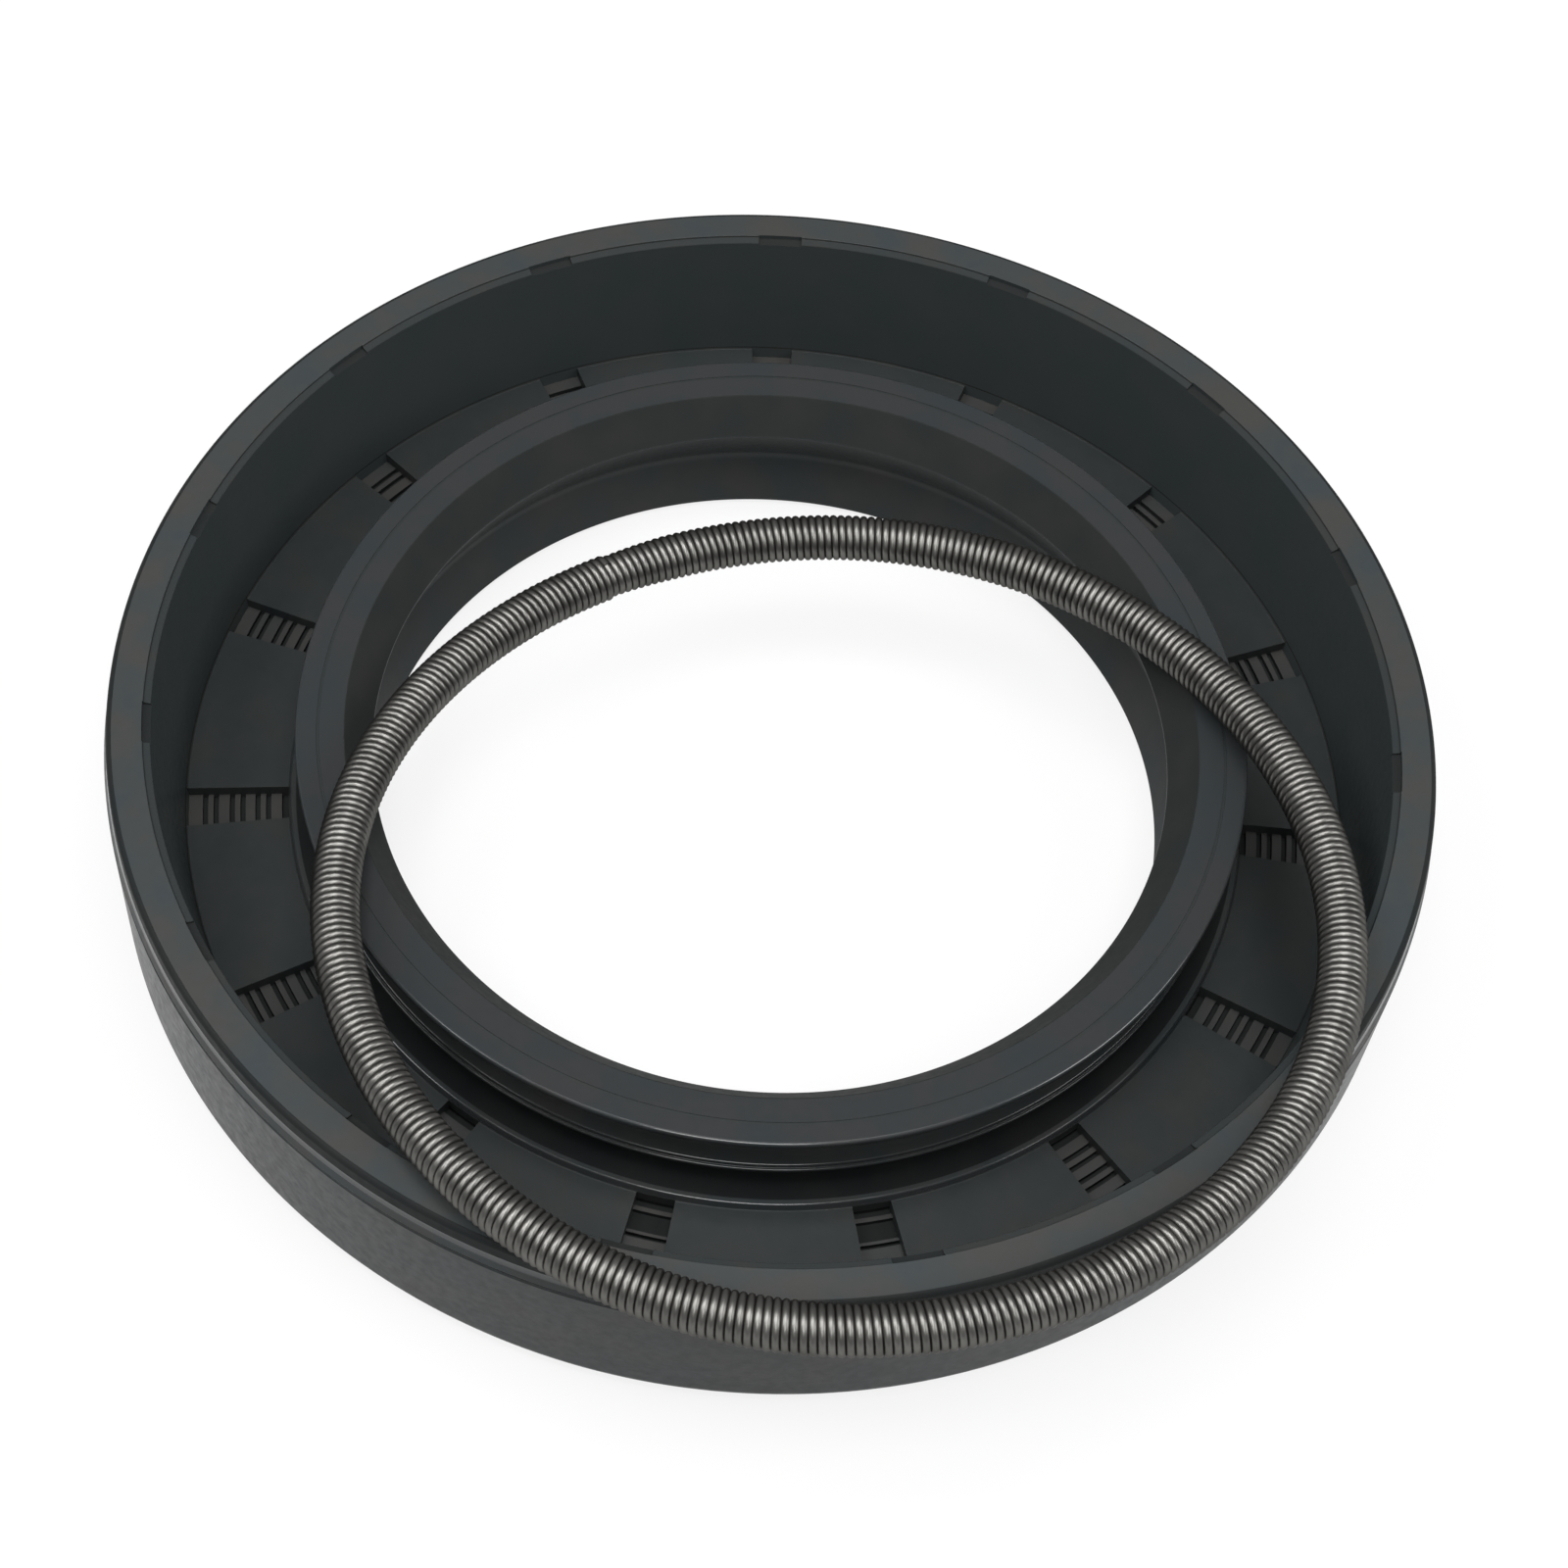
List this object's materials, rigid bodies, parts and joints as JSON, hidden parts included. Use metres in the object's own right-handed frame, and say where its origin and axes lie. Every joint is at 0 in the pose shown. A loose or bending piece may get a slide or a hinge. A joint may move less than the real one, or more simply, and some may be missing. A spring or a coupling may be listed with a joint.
{
  "type": "radial shaft seal",
  "caption": "Rubber-covered rotary shaft seal with a sealing lip, a dust lip and a moulded-in steel case; its garter spring lies loose across the top.",
  "frame": {"origin": "on the shaft axis, in the plane of the flat seating face", "axes": "+Z along the shaft axis towards the oil side, where the spring groove opens; the loose spring overhangs the rim towards -Y"},
  "size_m": [0.065, 0.0676, 0.0135],
  "materials": {
    "black_rubber": "moulded nitrile rubber, matt with a slight sheen on the trimmed edges",
    "case_steel": "pressed sheet steel, phosphated for bonding",
    "spring_wire": "oiled hard-drawn spring wire, closely wound"
  },
  "bodies": {
    "root": {"rubber_body": "black_rubber", "steel_case": "case_steel", "garter_spring": "spring_wire"}
  },
  "joints": []
}
